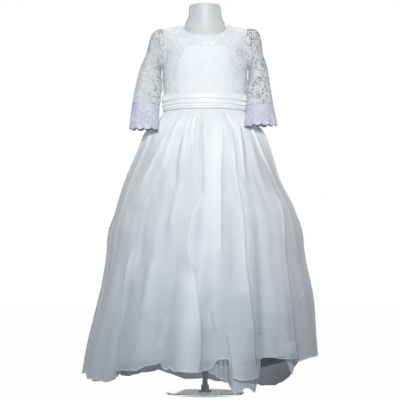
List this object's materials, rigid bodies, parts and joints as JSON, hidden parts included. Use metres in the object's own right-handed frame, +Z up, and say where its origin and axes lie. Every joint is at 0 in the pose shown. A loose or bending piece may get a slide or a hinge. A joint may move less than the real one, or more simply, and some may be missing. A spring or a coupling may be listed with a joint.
{
  "type": "flower girl dress on a limbless child dress form",
  "caption": "Child's full-length dress with a lace bodice, elbow sleeves, a pleated satin sash and a layered tulle skirt, standing on a torso form.",
  "frame": {"origin": "centre of the base plate's underside, on the floor", "axes": "+Z up, the dress faces -Y, +X to the wearer's left"},
  "size_m": [0.7172, 0.6757, 1.205],
  "materials": {
    "lace": "floral lace on net, soft matt white",
    "lining": "plain woven lining, matt white",
    "cuff_lace": "scalloped lace, white with a cool lavender cast",
    "satin": "satin weave, soft sheen",
    "tulle": "fine net, sheer in one layer and milky in several",
    "form": "moulded and sprayed white, low gloss",
    "steel": "white powder coat",
    "glass": "clear tempered float glass with ground edges"
  },
  "bodies": {
    "root": {"bodice_front": "lace", "bodice_back_left": "lace", "bodice_back_right": "lace", "bodice_lining_front": "lining", "bodice_lining_back_left": "lining", "bodice_lining_back_right": "lining", "sleeve_left": "lace", "sleeve_right": "lace", "cuff_lace_left": "cuff_lace", "cuff_lace_right": "cuff_lace", "neck_binding": "satin", "sash": "satin", "button_1": "satin", "button_2": "satin", "button_3": "satin", "button_4": "satin", "button_5": "satin", "skirt_over_front": "tulle", "skirt_over_back": "tulle", "skirt_under_front": "tulle", "skirt_under_back": "tulle", "skirt_lining_front": "satin", "skirt_lining_back": "satin", "form_torso": "form", "form_pole": "steel", "form_socket": "steel", "form_base": "glass"}
  },
  "joints": []
}
